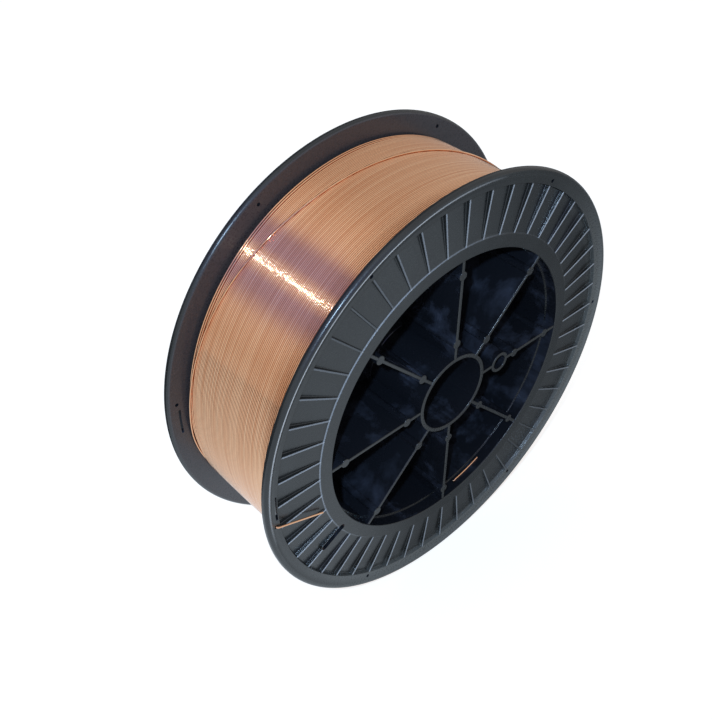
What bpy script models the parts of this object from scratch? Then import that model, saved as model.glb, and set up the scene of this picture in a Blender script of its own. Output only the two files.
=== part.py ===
"""A 300 mm moulded plastic spool, wound with copper-coated welding wire.

Two identical half-spools meet at the mid-plane. Each is one moulding: a flange with a
round bead and 48 sunk pockets between thin radial ribs, half of the barrel, half of the
hub tube, a closed web at the joint, eight spokes with ejector bosses and the drive tube.
The wire fills the barrel as one turned ring. Its last turn crosses the winding, leaves
through a hole of the front flange and is bent over on its face. Its first end shows
inside the front recess.

The spool's axis is Y, the front flange faces -Y and the origin is the middle of the bore.
Angles are counted from +X towards +Z.
"""

import math

import bmesh
import bpy
from mathutils import Matrix, Vector

MM = 0.001

# Whole spool
RIM_RADIUS = 150.0 * MM
SPOOL_WIDTH = 100.0 * MM
SEAT_GAP = 0.3 * MM

# Flange
RIM_THICKNESS = 5.0 * MM
BEAD_RADIUS = 2.3 * MM
FACE_SINK = 1.5 * MM
OUTER_BAND_WIDTH = 9.8 * MM
INNER_BAND_WIDTH = 9.0 * MM
POCKET_COUNT = 48
RIB_THICKNESS = 1.2 * MM
POCKET_DEPTH_OUTER = 2.6 * MM
POCKET_DEPTH_INNER = 1.0 * MM
POCKET_RAMP = 1.6 * MM

# Barrel, hub and web
FLANGE_HEIGHT = 47.5 * MM
BARREL_WALL = 3.2 * MM
LEDGE_DEPTH = 8.5 * MM
LEDGE_STEP = 1.1 * MM
BORE_RADIUS = 25.75 * MM
HUB_WALL = 2.7 * MM
WEB_THICKNESS = 2.2 * MM

# Spokes, bosses and drive tube
SPOKE_COUNT = 8
SPOKE_TIP_THICKNESS = 2.2 * MM
SPOKE_ROOT_THICKNESS = 3.0 * MM
SPOKE_SINK = 0.3 * MM
SPOKE_FOOT_SHARE = 0.5
BOSS_RADIUS = 3.0 * MM
BOSS_SINK = 0.1 * MM
BOSS_FOOT_SHARE = 0.33
BOSS_FROM_HUB = 11.5 * MM
BOSS_FROM_BARREL = 9.3 * MM
DRIVE_SPOKE_BOSS_SHARE = 0.185
DRIVE_HOLE_RADIUS = 5.2 * MM
DRIVE_HOLE_AT = 44.5 * MM
DRIVE_TUBE_WALL = 2.3 * MM
DRIVE_TUBE_SINK = 0.2 * MM
DRIVE_TUBE_FOOT_SHARE = 0.25

# Wire holes of each flange
WIRE_HOLE_RADIUS = 1.2 * MM
WIRE_HOLE_FROM_RIM = 6.7 * MM
WIRE_HOLE_ANGLES = (0.0, 60.0, 120.0, 240.0, 300.0)
EXIT_HOLE_ANGLE = 185.7
CLIP_SLOT_FROM_RIM = 8.3 * MM
CLIP_SLOT_WIDTH = 1.5 * MM
CLIP_SLOT_ANGLES = (176.0, 183.7)
START_SLOT_ANGLE = 210.0
START_SLOT_WIDTH = 2.8 * MM
START_SLOT_LENGTH = 16.2 * MM
START_SLOT_INTO_BAND = 1.0 * MM
START_SLOT_LIP = 1.1 * MM
START_SLOT_LIP_SINK = 0.1 * MM

# Wire
WIRE_DIAMETER = 1.2 * MM
WINDING_FROM_RIM = 14.0 * MM
WINDING_EDGE = 0.9 * MM
LAST_TURN_START_ANGLE = 186.0
LAST_TURN_RISE_SPAN = 22.0
LAST_TURN_OVERLAP = 1.2
LAST_TURN_SWAY = 2.6 * MM
LAST_TURN_SWAY_SHARE = 0.24
TAIL_END_FROM_BAND = 3.2 * MM
TAIL_END_ANGLE = 194.0
TAIL_BEND_RADIUS = 1.4 * MM
START_HOLE_RADIUS = 1.2 * MM
START_HOLE_ANGLE = -80.5
START_END_ANGLE = -66.3
START_BEND_SPAN = 0.9
START_SINK = 5.6 * MM

# Facets
ROUND_STEPS = 96
BEAD_STEPS = 3
BOSS_STEPS = 8
TUBE_STEPS = 16
HOLE_STEPS = 8
CLIP_SLOT_STEPS = 3
LAST_TURN_STEPS = 80
LAST_TURN_RISE_STEPS = 7
TAIL_BEND_STEPS = 5
START_BEND_STEPS = 4
START_STEPS = 8

# Sizes that follow from the ones above
HALF_WIDTH = SPOOL_WIDTH / 2
RIM_FACE = -HALF_WIDTH
FLANGE_FACE = RIM_FACE + FACE_SINK
FLANGE_BACK = RIM_FACE + RIM_THICKNESS
JOINT_FACE = -SEAT_GAP / 2
WEB_FACE = JOINT_FACE - WEB_THICKNESS
HUB_RADIUS = BORE_RADIUS + HUB_WALL
BARREL_RADIUS = RIM_RADIUS - FLANGE_HEIGHT
CHAMBER_RADIUS = BARREL_RADIUS - BARREL_WALL
MOUTH_RADIUS = CHAMBER_RADIUS + LEDGE_STEP
BAND_OUTER_RADIUS = RIM_RADIUS - OUTER_BAND_WIDTH
BAND_INNER_RADIUS = MOUTH_RADIUS + INNER_BAND_WIDTH
INNER_BOSS_AT = HUB_RADIUS + BOSS_FROM_HUB
OUTER_BOSS_AT = CHAMBER_RADIUS - BOSS_FROM_BARREL
DRIVE_TUBE_RADIUS = DRIVE_HOLE_RADIUS + DRIVE_TUBE_WALL
DRIVE_TUBE_END = DRIVE_HOLE_AT + DRIVE_TUBE_RADIUS
DRIVE_SPOKE_BOSS_AT = DRIVE_TUBE_END + (OUTER_BOSS_AT - DRIVE_TUBE_END) * DRIVE_SPOKE_BOSS_SHARE
WIRE_HOLE_AT = RIM_RADIUS - WIRE_HOLE_FROM_RIM
CLIP_SLOT_AT = RIM_RADIUS - CLIP_SLOT_FROM_RIM
START_SLOT_INNER = BAND_INNER_RADIUS - START_SLOT_INTO_BAND
START_SLOT_OUTER = START_SLOT_INNER + START_SLOT_LENGTH
LEDGE_FACE = FLANGE_FACE + LEDGE_DEPTH
WINDING_RADIUS = RIM_RADIUS - WINDING_FROM_RIM
WINDING_HALF = HALF_WIDTH - RIM_THICKNESS - SEAT_GAP
WIRE_RADIUS = WIRE_DIAMETER / 2
WIRE_LIFT = SEAT_GAP + WIRE_RADIUS
START_FACE = FLANGE_FACE + START_SINK
TAIL_END_RADIUS = BAND_INNER_RADIUS + TAIL_END_FROM_BAND
CUT_OVERRUN = 2.0 * MM


def clear_scene():
    """Remove every object of the start-up scene."""
    for item in list(bpy.data.objects):
        bpy.data.objects.remove(item, do_unlink=True)


def plastic(name, colour, roughness):
    """Make a Principled material for a moulded piece."""
    material = bpy.data.materials.new(name)
    material.use_nodes = True
    shader = material.node_tree.nodes["Principled BSDF"]
    shader.inputs["Base Color"].default_value = (*colour, 1.0)
    shader.inputs["Roughness"].default_value = roughness
    return material


def metal(name, colour, roughness):
    """Make a Principled material for bare or coated metal."""
    material = plastic(name, colour, roughness)
    material.node_tree.nodes["Principled BSDF"].inputs["Metallic"].default_value = 1.0
    return material


def add_object(name, bm, material=None):
    """Put a finished bmesh into the scene as one smooth-shaded object."""
    bmesh.ops.recalc_face_normals(bm, faces=bm.faces)
    mesh = bpy.data.meshes.new(name)
    bm.to_mesh(mesh)
    bm.free()
    mesh.shade_smooth()
    mesh.set_sharp_from_angle(angle=math.radians(30))
    if material:
        mesh.materials.append(material)
    item = bpy.data.objects.new(name, mesh)
    bpy.context.scene.collection.objects.link(item)
    return item


def add_guide(name, bm):
    """Put a cutter or a joined form into the scene, hidden from the model."""
    item = add_object(name, bm)
    item.hide_render = True
    item.display_type = "WIRE"
    return item


def combine(target, guide, operation):
    """Add a live Boolean that joins or cuts the target with a guide."""
    modifier = target.modifiers.new(guide.name, "BOOLEAN")
    modifier.operation = operation
    modifier.solver = "EXACT"
    modifier.object = guide


def polar(radius, degrees, y=0.0):
    """Give the point at a radius and an angle about the spool's axis."""
    angle = math.radians(degrees)
    return Vector((radius * math.cos(angle), y, radius * math.sin(angle)))


def turn(profile):
    """Turn a closed profile of (radius, y) points once about the Y axis."""
    bm = bmesh.new()
    first = math.pi / ROUND_STEPS
    start = Matrix.Rotation(first, 4, "Y")
    points = [bm.verts.new(start @ Vector((radius, y, 0.0))) for radius, y in profile]
    edges = [bm.edges.new((points[i - 1], points[i])) for i in range(len(points))]
    bmesh.ops.spin(
        bm,
        geom=points + edges,
        cent=(0.0, 0.0, 0.0),
        axis=(0.0, 1.0, 0.0),
        angle=math.tau,
        steps=ROUND_STEPS,
        use_merge=True,
        use_duplicate=False,
    )
    return bm


def prism(bm, outline, front, back):
    """Extrude an outline of (x, z) points along Y, and return its front and rear vertices."""
    near = [bm.verts.new((x, front, z)) for x, z in outline]
    made = bmesh.ops.extrude_face_region(bm, geom=[bm.faces.new(near)])
    rear = [v for v in made["geom"] if isinstance(v, bmesh.types.BMVert)]
    bmesh.ops.translate(bm, verts=rear, vec=(0.0, back - front, 0.0))
    return near, rear


def disc_outline(centre, radius, steps):
    """List the (x, z) points of a circle about a centre point."""
    turns = [math.tau * (i + 0.5) / steps for i in range(steps)]
    return [(centre.x + radius * math.cos(t), centre.z + radius * math.sin(t)) for t in turns]


def slot_outline(centre_degrees, width, inner, outer):
    """List the (x, z) points of a radial slot with round ends."""
    along = polar(1.0, centre_degrees)
    across = polar(1.0, centre_degrees + 90.0)
    half_turn = HOLE_STEPS // 2
    points = []
    for centre, first in ((outer, -90.0), (inner, 90.0)):
        for i in range(half_turn + 1):
            t = math.radians(first + 180.0 * i / half_turn)
            p = along * (centre + width / 2 * math.cos(t)) + across * (width / 2 * math.sin(t))
            points.append((p.x, p.z))
    return points


def bead_profile():
    """List the points of the flange's round rim, from its front to its back."""
    points = []
    centre_radius = RIM_RADIUS - BEAD_RADIUS
    for i in range(BEAD_STEPS + 1):
        t = math.radians(90.0 * i / BEAD_STEPS)
        radius = centre_radius + BEAD_RADIUS * math.sin(t)
        points.append((radius, RIM_FACE + BEAD_RADIUS * (1.0 - math.cos(t))))
    for i in range(BEAD_STEPS + 1):
        t = math.radians(90.0 * i / BEAD_STEPS)
        radius = centre_radius + BEAD_RADIUS * math.cos(t)
        points.append((radius, FLANGE_BACK - BEAD_RADIUS * (1.0 - math.sin(t))))
    return points


def half_profile():
    """List the section of one half-spool, clockwise from the front of its bore."""
    bead_inner = RIM_RADIUS - 2.0 * BEAD_RADIUS
    return [
        (BORE_RADIUS, FLANGE_FACE),
        (HUB_RADIUS, FLANGE_FACE),
        (HUB_RADIUS, WEB_FACE),
        (CHAMBER_RADIUS, WEB_FACE),
        (CHAMBER_RADIUS, LEDGE_FACE),
        (MOUTH_RADIUS, LEDGE_FACE),
        (MOUTH_RADIUS, FLANGE_FACE),
        (bead_inner, FLANGE_FACE),
        *bead_profile(),
        (BARREL_RADIUS, FLANGE_BACK),
        (BARREL_RADIUS, JOINT_FACE),
        (BORE_RADIUS, JOINT_FACE),
    ]


def pocket_outline(index):
    """List one pocket's corners as (radius, distance across) pairs about its middle."""
    pitch = 360.0 / POCKET_COUNT
    middle = pitch * (index + 0.5)
    inner = BAND_INNER_RADIUS
    corners = []
    for radius, side in ((inner, -1), (inner, 0), (inner, 1), (BAND_OUTER_RADIUS, 1),
                         (BAND_OUTER_RADIUS, 0), (BAND_OUTER_RADIUS, -1)):
        rib_degrees = math.degrees(math.asin(RIB_THICKNESS / 2 / radius))
        corners.append((radius, middle + side * (pitch / 2 - rib_degrees)))
    return corners


def pocket_cutter():
    """Make the 48 wedge-shaped cutters that sink the pockets between the ribs."""
    bm = bmesh.new()
    lift = POCKET_DEPTH_INNER
    front_radius = BAND_INNER_RADIUS - POCKET_RAMP * lift / POCKET_DEPTH_INNER
    floor_radius = BAND_INNER_RADIUS + POCKET_RAMP
    for index in range(POCKET_COUNT):
        front, floor = [], []
        for radius, degrees in pocket_outline(index):
            inner = radius < BAND_OUTER_RADIUS
            depth = POCKET_DEPTH_INNER if inner else POCKET_DEPTH_OUTER
            front_point = polar(front_radius if inner else radius, degrees, FLANGE_FACE - lift)
            floor_point = polar(floor_radius if inner else radius, degrees, FLANGE_FACE + depth)
            front.append(bm.verts.new(front_point))
            floor.append(bm.verts.new(floor_point))
        top = [bm.edges.new((front[i - 1], front[i])) for i in range(len(front))]
        bottom = [bm.edges.new((floor[i - 1], floor[i])) for i in range(len(floor))]
        bmesh.ops.bridge_loops(bm, edges=top + bottom)
        bm.faces.new(front)
        inner_left, inner_mid, inner_right, outer_right, outer_mid, outer_left = floor
        bm.faces.new((inner_left, inner_mid, outer_mid, outer_left))
        bm.faces.new((inner_mid, inner_right, outer_right, outer_mid))
    return bm


def spoke_form():
    """Make the eight drafted spokes that run from the hub to the barrel."""
    bm = bmesh.new()
    front = FLANGE_FACE + SPOKE_SINK
    back = WEB_FACE + WEB_THICKNESS * SPOKE_FOOT_SHARE
    inner = HUB_RADIUS - HUB_WALL / 2
    outer = CHAMBER_RADIUS + BARREL_WALL / 3
    half = SPOKE_TIP_THICKNESS / 2
    outline = ((inner, -half), (outer, -half), (outer, half), (inner, half))
    draft = (1.0, 1.0, SPOKE_ROOT_THICKNESS / SPOKE_TIP_THICKNESS)
    for index in range(SPOKE_COUNT):
        near, rear = prism(bm, outline, front, back)
        bmesh.ops.scale(bm, vec=draft, verts=rear)
        turn_to = Matrix.Rotation(-math.tau * index / SPOKE_COUNT, 3, "Y")
        bmesh.ops.rotate(bm, cent=(0.0, 0.0, 0.0), matrix=turn_to, verts=near + rear)
    return bm


def boss_form():
    """Make the round ejector bosses, two on each spoke."""
    bm = bmesh.new()
    front = FLANGE_FACE + BOSS_SINK
    back = WEB_FACE + WEB_THICKNESS * BOSS_FOOT_SHARE
    for index in range(SPOKE_COUNT):
        inner_at = DRIVE_SPOKE_BOSS_AT if index == 0 else INNER_BOSS_AT
        for radius in (inner_at, OUTER_BOSS_AT):
            centre = polar(radius, 360.0 * index / SPOKE_COUNT)
            prism(bm, disc_outline(centre, BOSS_RADIUS, BOSS_STEPS), front, back)
    return bm


def drive_tube_form():
    """Make the tube round the drive pin's hole."""
    bm = bmesh.new()
    outline = disc_outline(polar(DRIVE_HOLE_AT, 0.0), DRIVE_TUBE_RADIUS, TUBE_STEPS)
    back = WEB_FACE + WEB_THICKNESS * DRIVE_TUBE_FOOT_SHARE
    prism(bm, outline, FLANGE_FACE + DRIVE_TUBE_SINK, back)
    return bm


def slot_lip_form():
    """Make the raised lip round the start slot, level with the ribs."""
    bm = bmesh.new()
    width = START_SLOT_WIDTH + 2.0 * START_SLOT_LIP
    outline = slot_outline(START_SLOT_ANGLE, width, START_SLOT_INNER, START_SLOT_OUTER)
    floor = FLANGE_FACE + POCKET_DEPTH_OUTER
    prism(bm, outline, FLANGE_FACE + START_SLOT_LIP_SINK, (floor + FLANGE_BACK) / 2)
    return bm


def hole_cutter():
    """Make the cutters of the drive hole, the wire holes and the slots."""
    bm = bmesh.new()
    front, back = RIM_FACE - CUT_OVERRUN, JOINT_FACE + CUT_OVERRUN
    prism(bm, disc_outline(polar(DRIVE_HOLE_AT, 0.0), DRIVE_HOLE_RADIUS, TUBE_STEPS), front, back)
    back = FLANGE_BACK + CUT_OVERRUN
    for degrees in (*WIRE_HOLE_ANGLES, EXIT_HOLE_ANGLE):
        centre = polar(WIRE_HOLE_AT, degrees)
        prism(bm, disc_outline(centre, WIRE_HOLE_RADIUS, HOLE_STEPS), front, back)
    slot = slot_outline(START_SLOT_ANGLE, START_SLOT_WIDTH, START_SLOT_INNER, START_SLOT_OUTER)
    prism(bm, slot, front, back)
    first, last = CLIP_SLOT_ANGLES
    degrees = [first + (last - first) * i / CLIP_SLOT_STEPS for i in range(CLIP_SLOT_STEPS + 1)]
    inner = [polar(CLIP_SLOT_AT - CLIP_SLOT_WIDTH / 2, d) for d in degrees]
    outer = [polar(CLIP_SLOT_AT + CLIP_SLOT_WIDTH / 2, d) for d in reversed(degrees)]
    prism(bm, [(p.x, p.z) for p in inner + outer], front, back)
    return bm


def start_hole_cutter():
    """Make the cutter of the hole that the wire's first end passes in the barrel wall."""
    bm = bmesh.new()
    axis = polar(1.0, START_HOLE_ANGLE)
    made = bmesh.ops.create_cone(
        bm,
        cap_ends=True,
        segments=HOLE_STEPS,
        radius1=START_HOLE_RADIUS,
        radius2=START_HOLE_RADIUS,
        depth=BARREL_WALL * 2.0,
    )
    aim = axis.to_track_quat("Z", "Y").to_matrix().to_4x4()
    centre = polar(MOUTH_RADIUS, START_HOLE_ANGLE, START_FACE)
    bmesh.ops.transform(bm, matrix=Matrix.Translation(centre) @ aim, verts=made["verts"])
    return bm


def make_half(name, material):
    """Build one half-spool in the front half's place."""
    half = add_object(name, turn(half_profile()), material)
    combine(half, add_guide(name + "_pockets", pocket_cutter()), "DIFFERENCE")
    combine(half, add_guide(name + "_spokes", spoke_form()), "UNION")
    combine(half, add_guide(name + "_bosses", boss_form()), "UNION")
    combine(half, add_guide(name + "_drive_tube", drive_tube_form()), "UNION")
    combine(half, add_guide(name + "_slot_lip", slot_lip_form()), "UNION")
    combine(half, add_guide(name + "_holes", hole_cutter()), "DIFFERENCE")
    combine(half, add_guide(name + "_start_hole", start_hole_cutter()), "DIFFERENCE")
    return half


def make_winding(material):
    """Build the wound wire as one turned ring that fills the barrel."""
    inner = BARREL_RADIUS + SEAT_GAP
    edge = WINDING_RADIUS - WINDING_EDGE
    profile = [
        (inner, -WINDING_HALF),
        (edge, -WINDING_HALF),
        (WINDING_RADIUS, -WINDING_HALF + WINDING_EDGE),
        (WINDING_RADIUS, WINDING_HALF - WINDING_EDGE),
        (edge, WINDING_HALF),
        (inner, WINDING_HALF),
    ]
    return add_object("wire_winding", turn(profile), material)


def make_wire(name, points, material):
    """Build a piece of wire along a list of points, with flat cut ends."""
    curve = bpy.data.curves.new(name, "CURVE")
    curve.dimensions = "3D"
    curve.bevel_depth = WIRE_RADIUS
    curve.bevel_resolution = 1
    curve.use_fill_caps = True
    spline = curve.splines.new("POLY")
    spline.points.add(len(points) - 1)
    for target, point in zip(spline.points, points):
        target.co = (*point, 1.0)
    curve.materials.append(material)
    item = bpy.data.objects.new(name, curve)
    bpy.context.scene.collection.objects.link(item)
    return item


def last_turn_points():
    """List the last turn's points, from the back flange to the exit hole's front."""
    lie = WINDING_RADIUS + WIRE_LIFT
    first = LAST_TURN_START_ANGLE
    last = EXIT_HOLE_ANGLE - 360.0
    leave = last + LAST_TURN_RISE_SPAN
    near_y = -WINDING_HALF + WIRE_DIAMETER
    far_y = WINDING_HALF - WIRE_DIAMETER
    points = []
    for i in range(LAST_TURN_STEPS + 1):
        share = i / LAST_TURN_STEPS
        sway = LAST_TURN_SWAY * math.sin(math.pi * min(share / LAST_TURN_SWAY_SHARE, 1.0)) ** 2
        degrees = first + (leave - first) * share
        points.append(polar(lie, degrees, far_y + (near_y - far_y) * share + sway))
    for i in range(1, LAST_TURN_RISE_STEPS + 1):
        share = i / LAST_TURN_RISE_STEPS
        ease = share * share * (3.0 - 2.0 * share)
        radius = lie + (WIRE_HOLE_AT - lie) * ease
        degrees = leave + (last + LAST_TURN_OVERLAP - leave) * share
        points.append(polar(radius, degrees, near_y))
    return points


def tail_points():
    """List the tail's points, through the exit hole and over the flange face."""
    hole = polar(WIRE_HOLE_AT, EXIT_HOLE_ANGLE)
    end = polar(TAIL_END_RADIUS, TAIL_END_ANGLE)
    along = (end - hole).normalized()
    lie = FLANGE_FACE - WIRE_LIFT
    turn_y = lie + TAIL_BEND_RADIUS
    points = [hole + Vector((0.0, y, 0.0)) for y in (FLANGE_BACK, (FLANGE_BACK + turn_y) / 2)]
    for i in range(TAIL_BEND_STEPS + 1):
        t = math.radians(90.0 * i / TAIL_BEND_STEPS)
        out = along * (TAIL_BEND_RADIUS * (1.0 - math.cos(t)))
        points.append(hole + out + Vector((0.0, turn_y - TAIL_BEND_RADIUS * math.sin(t), 0.0)))
    points.append(end + Vector((0.0, lie, 0.0)))
    return points


def start_points():
    """List the points of the first end, from its hole along the recess wall."""
    lie = MOUTH_RADIUS - WIRE_LIFT
    points = [polar(radius, START_HOLE_ANGLE, START_FACE) for radius in (BARREL_RADIUS, MOUTH_RADIUS)]
    for i in range(1, START_BEND_STEPS + 1):
        share = i / START_BEND_STEPS
        radius = MOUTH_RADIUS + (lie - MOUTH_RADIUS) * share
        degrees = START_HOLE_ANGLE + START_BEND_SPAN * share * share
        points.append(polar(radius, degrees, START_FACE))
    first = START_HOLE_ANGLE + START_BEND_SPAN
    for i in range(1, START_STEPS + 1):
        degrees = first + (START_END_ANGLE - first) * i / START_STEPS
        points.append(polar(lie, degrees, START_FACE))
    return points


def main():
    """Build the spool and its wire."""
    clear_scene()
    black = plastic("black_moulded_plastic", (0.022, 0.024, 0.026), 0.42)
    copper = metal("copper_coated_wire", (0.72, 0.36, 0.22), 0.3)
    make_half("front_half", black)
    back_half = make_half("back_half", black)
    back_half.rotation_euler.x = math.pi
    for modifier in back_half.modifiers:
        modifier.object.rotation_euler.x = math.pi
    make_winding(copper)
    make_wire("wire_tail", last_turn_points() + tail_points(), copper)
    make_wire("wire_start", start_points(), copper)


main()
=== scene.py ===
"""Looks of a 300 mm moulded spool that is full of copper-coated welding wire.

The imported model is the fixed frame. The spool's axis is Y, the front flange faces -Y and
angles are counted from +X towards +Z. Every piece is made in its place, in metres.
"""

import logging
import math
from abc import ABC, abstractmethod
from dataclasses import dataclass
from enum import Enum

import bmesh
import bpy
from bmesh.types import BMEdge, BMesh, BMVert
from bpy.types import Material, Mesh, Node, NodeSocket, NodeTree, Object
from mathutils import Matrix, Vector


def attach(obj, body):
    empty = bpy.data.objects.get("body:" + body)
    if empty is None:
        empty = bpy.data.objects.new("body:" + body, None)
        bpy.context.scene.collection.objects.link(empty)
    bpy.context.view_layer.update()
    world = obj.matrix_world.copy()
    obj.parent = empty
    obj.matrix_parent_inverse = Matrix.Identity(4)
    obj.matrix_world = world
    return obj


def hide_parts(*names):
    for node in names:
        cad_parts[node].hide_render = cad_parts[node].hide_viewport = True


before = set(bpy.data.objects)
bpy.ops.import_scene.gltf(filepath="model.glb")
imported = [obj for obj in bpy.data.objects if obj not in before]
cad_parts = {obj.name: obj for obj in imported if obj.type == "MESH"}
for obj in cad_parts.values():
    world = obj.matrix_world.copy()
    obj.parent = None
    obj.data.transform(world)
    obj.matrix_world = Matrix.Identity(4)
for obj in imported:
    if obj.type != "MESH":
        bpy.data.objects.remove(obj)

MM = 0.001
LEVEL = 0.001 * MM
TOUCH = 0.01 * MM
FINE_FROM = 1.0 * MM
BODY = "root"
LOG = logging.getLogger("wire_spool")

Triple = tuple[float, float, float]
Pair = tuple[float, float]
Value = float | tuple[float, ...] | NodeSocket | Node

ORIGIN: Triple = (0.0, 0.0, 0.0)
AXIS: Triple = (0.0, 1.0, 0.0)
ACROSS: Triple = (1.0, 0.0, 1.0)


class Side(Enum):
    """The two flange sides of the spool."""

    FRONT = "front_half"
    BACK = "back_half"


class Slot(Enum):
    """The record's material slots."""

    PLASTIC = "spool_plastic"
    WIRE = "copper_wire"


class Blend(Enum):
    """How a look comes in between its two levels."""

    EVEN = "LINEAR"
    SOFT = "SMOOTHSTEP"


# Helpers


def linear(colour: str) -> tuple[float, float, float, float]:
    """Turn an sRGB hex colour into linear light.

    Args:
        colour: Six hex digits after a hash.

    Returns:
        Red, green, blue and an alpha of 1.
    """
    shares = [int(colour[i : i + 2], 16) / 255.0 for i in (1, 3, 5)]
    red, green, blue = (s / 12.92 if s <= 0.04045 else ((s + 0.055) / 1.055) ** 2.4 for s in shares)
    return (red, green, blue, 1.0)


def add_node(
    tree: NodeTree, kind: str, inputs: dict[str | int, Value] | tuple[Value, ...] = (),
    **properties: object,
) -> Node:
    """Add one node with its settings and links.

    Args:
        tree: The node tree that gets the node.
        kind: Blender's type name of the node.
        inputs: A constant, an output or a node for each input, by name, by number or in
            order. A node stands for the first of its outputs that is on.
        properties: The node's own settings.

    Returns:
        The new node.
    """
    node = tree.nodes.new(kind)
    for name, value in properties.items():
        setattr(node, name, value)
    for key, value in inputs.items() if isinstance(inputs, dict) else enumerate(inputs):
        if isinstance(value, Node):
            value = next(output for output in value.outputs if output.enabled)
        if isinstance(value, NodeSocket):
            tree.links.new(value, node.inputs[key])
        else:
            node.inputs[key].default_value = value
    return node


def new_material(name: str) -> tuple[Material, NodeTree]:
    """Make a material with an empty node tree.

    Args:
        name: The material's name.

    Returns:
        The material and its tree.
    """
    material = bpy.data.materials.new(name)
    material.use_nodes = True
    material.node_tree.nodes.clear()
    return material, material.node_tree


def new_object(name: str, data: bpy.types.ID) -> Object:
    """Put new data into the scene as an object at the origin.

    Args:
        name: The object's name.
        data: Its mesh, curve, lamp or camera.

    Returns:
        The object.
    """
    item = bpy.data.objects.new(name, data)
    bpy.context.scene.collection.objects.link(item)
    return item


def polar(radius: float, degrees: float, y: float = 0.0) -> Vector:
    """Give the point at a radius and an angle about the spool's axis.

    Args:
        radius: Distance from the axis in metres.
        degrees: Angle from +X towards +Z.
        y: Place along the axis.

    Returns:
        The point.
    """
    angle = math.radians(degrees)
    return Vector((radius * math.cos(angle), y, radius * math.sin(angle)))


def radius_of(point: Vector) -> float:
    """Give a point's distance from the spool's axis."""
    return math.hypot(point.x, point.z)


def angle_of(point: Vector) -> float:
    """Give a point's angle about the spool's axis in degrees."""
    return math.degrees(math.atan2(point.z, point.x))


def verts_in(geom: list) -> list[BMVert]:
    """List the vertices in mixed geometry."""
    return [item for item in geom if isinstance(item, BMVert)]


def level_edges(edges: list[BMEdge] | set[BMEdge], y: float) -> list[BMEdge]:
    """List the edges that lie at one place along the axis."""
    return [e for e in edges if all(abs(v.co.y - y) < LEVEL for v in e.verts)]


def round_off(
    bm: BMesh, geom: list, size: float, segments: int = 5, affect: str = "EDGES"
) -> None:
    """Round edges of a solid or corners of a flat section.

    Args:
        bm: The mesh.
        geom: The edges or corners.
        size: How far the rounding reaches, in metres.
        segments: Steps across the rounding.
        affect: Whether edges or vertices are rounded.
    """
    bmesh.ops.bevel(
        bm, geom=geom, offset=size, offset_type="OFFSET", segments=segments, profile=0.5,
        affect=affect, material=-1, clamp_overlap=False,
    )


def spin(
    bm: BMesh, geom: list, angle: float, steps: int, axis: Triple = AXIS,
    centre: Triple | Vector = ORIGIN, **more: bool,
) -> list:
    """Spin geometry round an axis.

    Args:
        bm: The mesh.
        geom: What is spun.
        angle: How far it is spun, in radians.
        steps: In how many steps.
        axis: The way that the axis points.
        centre: A point on the axis.
        more: Whether the seam is merged, or copies are made in place of a skin.

    Returns:
        The geometry where the spin ends.
    """
    made = bmesh.ops.spin(bm, geom=geom, cent=centre, axis=axis, angle=angle, steps=steps, **more)
    return made["geom_last"]


def section(bm: BMesh, outline: list[Triple]) -> list[BMVert | BMEdge]:
    """Draw a closed section with rounded corners in the plane z = 0.

    Args:
        bm: The mesh that gets the section.
        outline: Radius, place along the axis and rounding of each corner.

    Returns:
        The section's points and edges, ready to be spun.
    """
    corners = [(bm.verts.new((radius, y, 0.0)), size) for radius, y, size in outline]
    bm.faces.new([point for point, _ in corners])
    for size in sorted({size for _, size in corners if size > 0.0}):
        chosen = [point for point, own in corners if own == size]
        round_off(bm, chosen, size, 8 if size > FINE_FROM else 5, "VERTICES")
    bmesh.ops.delete(bm, geom=bm.faces[:], context="FACES_ONLY")
    return bm.verts[:] + bm.edges[:]


def mesh_of(bm: BMesh, name: str, sharp_degrees: float) -> Mesh:
    """Turn a bmesh into a smooth-shaded mesh and free it.

    Args:
        bm: The finished bmesh, closed all round.
        name: The mesh's name.
        sharp_degrees: Edges that turn more than this stay sharp.

    Returns:
        The mesh.
    """
    bmesh.ops.recalc_face_normals(bm, faces=bm.faces[:])
    mesh = bpy.data.meshes.new(name)
    bm.to_mesh(mesh)
    bm.free()
    mesh.shade_smooth()
    mesh.set_sharp_from_angle(angle=math.radians(sharp_degrees))
    return mesh


def take_in(bm: BMesh, mesh: Mesh) -> None:
    """Move a mesh into a bmesh.

    Args:
        bm: The bmesh that gets it.
        mesh: The mesh, which is removed.
    """
    bm.from_mesh(mesh)
    bpy.data.meshes.remove(mesh)


def evaluated_mesh(item: Object) -> Mesh:
    """Give an object's mesh with its modifiers or bevel in it."""
    graph = bpy.context.evaluated_depsgraph_get()
    return bpy.data.meshes.new_from_object(item.evaluated_get(graph))


def add_piece(name: str, mesh: Mesh, materials: list[Material], node: str) -> Object:
    """Put a finished mesh into the scene in place of a CAD node.

    Args:
        name: The piece's name.
        mesh: Its mesh, in the spool's frame.
        materials: The finishes in the order of the mesh's material indices.
        node: The CAD node that it stands for.

    Returns:
        The piece.
    """
    for material in materials:
        mesh.materials.append(material)
    piece = new_object(name, mesh)
    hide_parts(node)
    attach(piece, BODY)
    mesh.calc_loop_triangles()
    LOG.info("%s: %d triangles, stands for %s", name, len(mesh.loop_triangles), node)
    return piece


# Finishes


@dataclass(frozen=True)
class Share:
    """How far a look has come in, while one value goes from a start to an end."""

    value: Value
    start: float
    end: float
    low: float = 0.0
    high: float = 1.0
    blend: Blend = Blend.EVEN


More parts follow.
